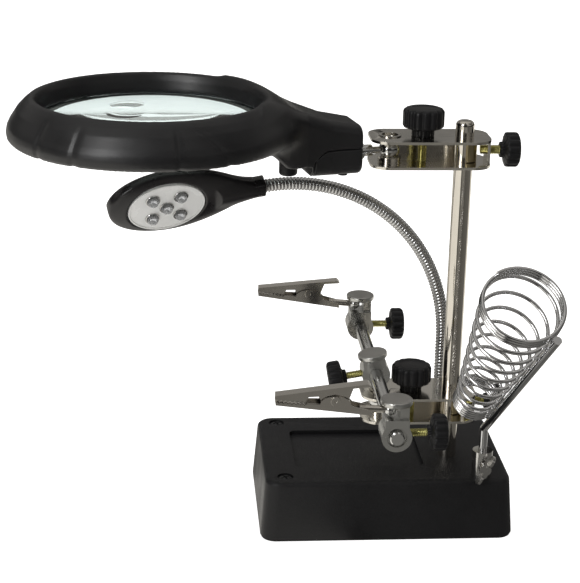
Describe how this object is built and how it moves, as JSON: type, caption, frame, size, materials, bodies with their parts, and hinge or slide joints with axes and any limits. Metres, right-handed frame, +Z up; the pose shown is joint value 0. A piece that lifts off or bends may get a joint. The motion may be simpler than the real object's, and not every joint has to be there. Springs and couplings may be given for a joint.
{
  "type": "helping hands clamp",
  "caption": "Bench stand with a weighted tray base, a post with two clamps, a round magnifier, a lamp on a bendable neck, a cross arm with spring clips and a coil iron holder.",
  "frame": {"origin": "middle of the base's underside, on the pad's lower face", "axes": "+X to the right, towards the post and iron coil; +Y back, towards the gooseneck; +Z up"},
  "size_m": [0.22, 0.1574, 0.1965],
  "materials": {
    "base_plastic": "fine texture",
    "plate_plastic": "plain",
    "foam_pad": "foam",
    "dark_screw": "black oxide",
    "iron_weight": "raw casting",
    "cell_wrap": "wrap",
    "switch_plastic": "plain",
    "zinc_nut": "nickel plated",
    "nickel_post": "mirror nickel",
    "nickel_sheet": "nickel plated",
    "brass_shoe": "dull",
    "knob_plastic": "satin",
    "yellow_zinc": "yellow zinc",
    "head_plastic": "satin",
    "lens_glass": "clear",
    "polished_steel": "polished",
    "gooseneck_steel": "ribbed",
    "lamp_plastic": "satin gloss",
    "white_plate": "pale",
    "led_resin": "clear domes",
    "cast_block": "die cast, plated",
    "clip_steel": "plated sheet",
    "coil_steel": "bright"
  },
  "bodies": {
    "base": {"base_shell": "base_plastic", "base_plate": "plate_plastic", "base_pad": "foam_pad", "base_screws": "dark_screw", "base_weight": "iron_weight", "battery_cells": "cell_wrap", "battery_door": "base_plastic", "switch_housing": "switch_plastic", "base_nuts": "zinc_nut", "post": "nickel_post", "gooseneck_socket": "zinc_nut", "iron_socket": "zinc_nut"},
    "switch": {"switch_slider": "switch_plastic"},
    "neck_1": {"gooseneck_1": "gooseneck_steel"},
    "neck_2": {"gooseneck_2": "gooseneck_steel"},
    "neck_3": {"gooseneck_3": "gooseneck_steel"},
    "neck_4": {"gooseneck_4": "gooseneck_steel"},
    "neck_5": {"gooseneck_5": "gooseneck_steel"},
    "lamp": {"lamp_housing": "lamp_plastic", "lamp_plate": "white_plate", "lamp_leds": "led_resin"},
    "magnifier_ball": {"magnifier_ball": "polished_steel"},
    "magnifier_stud": {"magnifier_stud": "polished_steel"},
    "magnifier": {"magnifier_housing": "head_plastic", "magnifier_lens": "lens_glass", "lens_retainer": "head_plastic", "handle_cover": "head_plastic", "handle_screws": "dark_screw"},
    "latch": {"latch_knob": "knob_plastic"},
    "arm_link": {"link_stud": "polished_steel"},
    "middle_block": {"middle_block": "cast_block"},
    "middle_lock": {"middle_lock_screw": "knob_plastic"},
    "arm": {"arm_rod": "polished_steel"},
    "iron_stand": {"iron_rod": "coil_steel", "iron_coil": "coil_steel"},
    "iron_wing": {"iron_wing_screw": "zinc_nut"},
    "upper_slide": {"upper_shoe": "brass_shoe"},
    "upper_clamp": {"upper_bracket": "nickel_sheet"},
    "upper_knob": {"upper_clamp_knob": "knob_plastic", "upper_clamp_screw": "yellow_zinc"},
    "upper_lock": {"upper_lock_screw": "knob_plastic"},
    "lower_slide": {"lower_shoe": "brass_shoe"},
    "lower_clamp": {"lower_bracket": "nickel_sheet"},
    "lower_knob": {"lower_clamp_knob": "knob_plastic", "lower_clamp_screw": "yellow_zinc"},
    "lower_lock": {"lower_lock_screw": "knob_plastic"},
    "front_block": {"front_block": "cast_block"},
    "front_lock": {"front_lock_screw": "knob_plastic"},
    "front_clip": {"front_clip_ball": "polished_steel", "front_clip_lower_jaw": "clip_steel", "front_clip_rivet": "clip_steel", "front_clip_spring": "clip_steel"},
    "front_jaw": {"front_clip_upper_jaw": "clip_steel"},
    "back_block": {"back_block": "cast_block"},
    "back_lock": {"back_lock_screw": "knob_plastic"},
    "back_clip": {"back_clip_ball": "polished_steel", "back_clip_lower_jaw": "clip_steel", "back_clip_rivet": "clip_steel", "back_clip_spring": "clip_steel"},
    "back_jaw": {"back_clip_upper_jaw": "clip_steel"}
  },
  "joints": [
    {"name": "switch_slide", "type": "slide", "parent": "base", "child": "switch", "axis": [1, 0, 0], "range_m": [0, 0.003]},
    {"name": "gooseneck_turn", "type": "hinge", "parent": "base", "child": "neck_1", "pos_m": [0.029, 0.016, 0.0332], "axis": [0, 0, 1], "range_deg": [-25, 35]},
    {"name": "gooseneck_bend_1", "type": "hinge", "parent": "neck_1", "child": "neck_2", "pos_m": [0.029, 0.016, 0.075], "axis": [0.2181, -0.9759, 0], "range_deg": [0, 8]},
    {"name": "gooseneck_bend_2", "type": "hinge", "parent": "neck_2", "child": "neck_3", "pos_m": [0.0225, 0.01455, 0.10632], "axis": [0.2181, -0.9759, 0], "range_deg": [0, 8]},
    {"name": "gooseneck_bend_3", "type": "hinge", "parent": "neck_3", "child": "neck_4", "pos_m": [0.00414, 0.01044, 0.13222], "axis": [0.2181, -0.9759, 0], "range_deg": [0, 8]},
    {"name": "gooseneck_bend_4", "type": "hinge", "parent": "neck_4", "child": "neck_5", "pos_m": [-0.02292, 0.00439, 0.14823], "axis": [0.2181, -0.9759, 0], "range_deg": [0, 8]},
    {"name": "lamp_twist", "type": "hinge", "parent": "neck_5", "child": "lamp", "pos_m": [-0.054, -0.00255, 0.15158], "axis": [-0.9706, -0.2169, -0.1045], "range_deg": [-20, 60]},
    {"name": "upper_height", "type": "slide", "parent": "base", "child": "upper_slide", "axis": [0, 0, 1], "range_m": [-0.001, 0.003]},
    {"name": "upper_swivel", "type": "hinge", "parent": "upper_slide", "child": "upper_clamp", "pos_m": [0.0297, -0.0077, 0.169], "axis": [0, 0, 1], "range_deg": [-15, 15]},
    {"name": "upper_knob_turn", "type": "hinge", "parent": "upper_clamp", "child": "upper_knob", "pos_m": [0.0118, -0.0077, 0.181], "axis": [0, 0, 1], "continuous": true},
    {"name": "upper_lock_turn", "type": "hinge", "parent": "upper_clamp", "child": "upper_lock", "pos_m": [0.0437, -0.0077, 0.169], "axis": [1, 0, 0], "continuous": true},
    {"name": "lower_height", "type": "slide", "parent": "base", "child": "lower_slide", "axis": [0, 0, 1], "range_m": [-0.003, 0.003]},
    {"name": "lower_swivel", "type": "hinge", "parent": "lower_slide", "child": "lower_clamp", "pos_m": [0.0297, -0.0077, 0.0533], "axis": [0, 0, 1], "range_deg": [-12, 12]},
    {"name": "lower_knob_turn", "type": "hinge", "parent": "lower_clamp", "child": "lower_knob", "pos_m": [0.0118, -0.0077, 0.0653], "axis": [0, 0, 1], "continuous": true},
    {"name": "lower_lock_turn", "type": "hinge", "parent": "lower_clamp", "child": "lower_lock", "pos_m": [0.0437, -0.0077, 0.0533], "axis": [1, 0, 0], "continuous": true},
    {"name": "magnifier_swing", "type": "hinge", "parent": "upper_clamp", "child": "magnifier_ball", "pos_m": [-0.0022, -0.0077, 0.169], "axis": [0, 0, 1], "range_deg": [-15, 15]},
    {"name": "magnifier_tilt", "type": "hinge", "parent": "magnifier_ball", "child": "magnifier_stud", "pos_m": [-0.0022, -0.0077, 0.169], "axis": [-0.2079, 0.9781, 0], "range_deg": [-2, 12]},
    {"name": "magnifier_roll", "type": "hinge", "parent": "magnifier_stud", "child": "magnifier", "pos_m": [-0.0022, -0.0077, 0.169], "axis": [-0.9781, -0.2079, 0], "range_deg": [-5, 20]},
    {"name": "latch_turn", "type": "hinge", "parent": "magnifier", "child": "latch", "pos_m": [-0.04573, -0.01695, 0.169], "axis": [0, 0, 1], "range_deg": [0, 90]},
    {"name": "arm_swing", "type": "hinge", "parent": "lower_clamp", "child": "arm_link", "pos_m": [-0.0022, -0.0077, 0.0533], "axis": [0, 0, 1], "range_deg": [-15, 6]},
    {"name": "arm_turn", "type": "hinge", "parent": "arm_link", "child": "middle_block", "pos_m": [-0.0046, -0.0077, 0.068], "axis": [-0.1611, 0, 0.9869], "range_deg": [-10, 10]},
    {"name": "middle_lock_turn", "type": "hinge", "parent": "middle_block", "child": "middle_lock", "pos_m": [-0.0046, -0.0077, 0.068], "axis": [-0.9848, 0, -0.1736], "continuous": true},
    {"name": "arm_slide", "type": "slide", "parent": "middle_block", "child": "arm", "axis": [0, 1, 0], "range_m": [-0.012, 0.012]},
    {"name": "front_block_turn", "type": "hinge", "parent": "arm", "child": "front_block", "pos_m": [-0.0046, -0.0747, 0.068], "axis": [0, 1, 0], "range_deg": [-25, 25]},
    {"name": "front_lock_turn", "type": "hinge", "parent": "front_block", "child": "front_lock", "pos_m": [-0.0046, -0.0747, 0.068], "axis": [1, 0, 0], "continuous": true},
    {"name": "front_clip_swing", "type": "hinge", "parent": "front_block", "child": "front_clip", "pos_m": [-0.0072, -0.0747, 0.0782], "axis": [0, 0, 1], "range_deg": [-30, 30]},
    {"name": "front_jaw_open", "type": "hinge", "parent": "front_clip", "child": "front_jaw", "pos_m": [-0.02956, -0.0747, 0.08339], "axis": [0, 1, 0], "range_deg": [0, 12], "stiffness_Nm_per_rad": 0.05, "springref_deg": -11.46},
    {"name": "back_block_turn", "type": "hinge", "parent": "arm", "child": "back_block", "pos_m": [-0.0046, 0.053, 0.068], "axis": [0, 1, 0], "range_deg": [-25, 25]},
    {"name": "back_lock_turn", "type": "hinge", "parent": "back_block", "child": "back_lock", "pos_m": [-0.0046, 0.053, 0.068], "axis": [1, 0, 0], "continuous": true},
    {"name": "back_clip_swing", "type": "hinge", "parent": "back_block", "child": "back_clip", "pos_m": [-0.0072, 0.053, 0.0782], "axis": [0, 0, 1], "range_deg": [-30, 30]},
    {"name": "back_jaw_open", "type": "hinge", "parent": "back_clip", "child": "back_jaw", "pos_m": [-0.02936, 0.053, 0.08417], "axis": [0, 1, 0], "range_deg": [0, 12], "stiffness_Nm_per_rad": 0.05, "springref_deg": -11.46},
    {"name": "iron_stand_turn", "type": "hinge", "parent": "base", "child": "iron_stand", "pos_m": [0.0413, -0.03035, 0.0395], "axis": [0, 0, 1], "range_deg": [-15, 45]},
    {"name": "iron_wing_turn", "type": "hinge", "parent": "base", "child": "iron_wing", "pos_m": [0.0413, -0.03035, 0.03335], "axis": [0, -1, 0], "continuous": true}
  ],
  "couplings": [
    {"joint": "gooseneck_bend_2", "follows": "gooseneck_bend_1", "ratio": 1},
    {"joint": "gooseneck_bend_3", "follows": "gooseneck_bend_1", "ratio": 1},
    {"joint": "gooseneck_bend_4", "follows": "gooseneck_bend_1", "ratio": 1}
  ]
}
